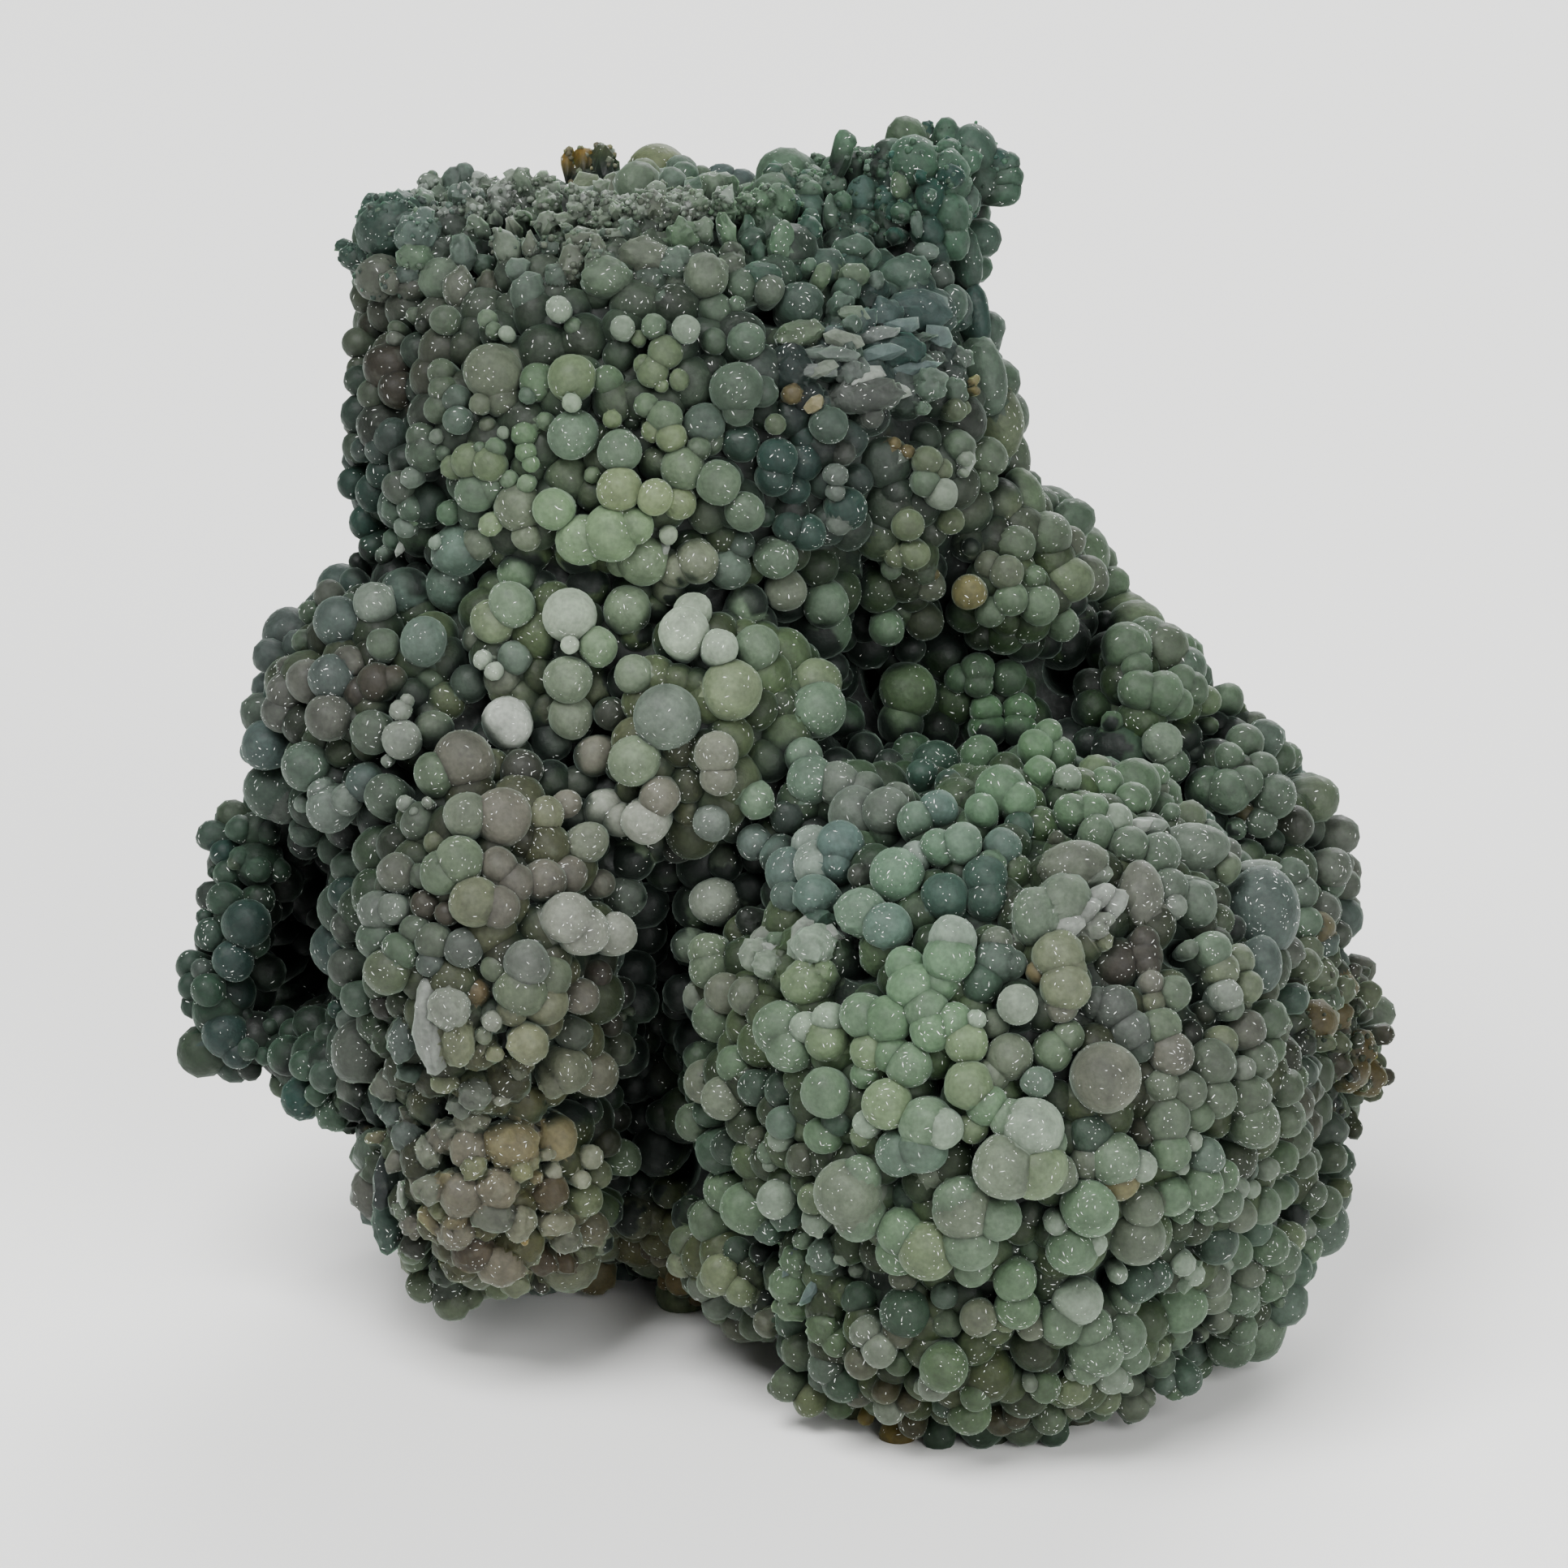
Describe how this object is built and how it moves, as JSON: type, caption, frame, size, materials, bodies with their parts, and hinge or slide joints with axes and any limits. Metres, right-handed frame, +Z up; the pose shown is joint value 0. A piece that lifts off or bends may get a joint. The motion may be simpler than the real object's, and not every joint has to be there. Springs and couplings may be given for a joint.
{
  "type": "botryoidal chalcedony specimen",
  "caption": "Leaning cluster of grape-like chalcedony balls in grey-green, mint and mauve, with a neck above rounded lobes, cut flat underneath to stand.",
  "frame": {"origin": "centre of the bounding box in plan, at the height of the cut flats that the stone stands on", "axes": "+Z up; the side with the lobes and the deep crevice faces -Y; the round lobe is towards +X and the neck leans back towards +Y"},
  "size_m": [0.0756, 0.0571, 0.0732],
  "materials": {
    "chalcedony": "waxy, translucent, with a fine sparkle"
  },
  "bodies": {
    "root": {"chalcedony": "chalcedony"}
  },
  "joints": []
}
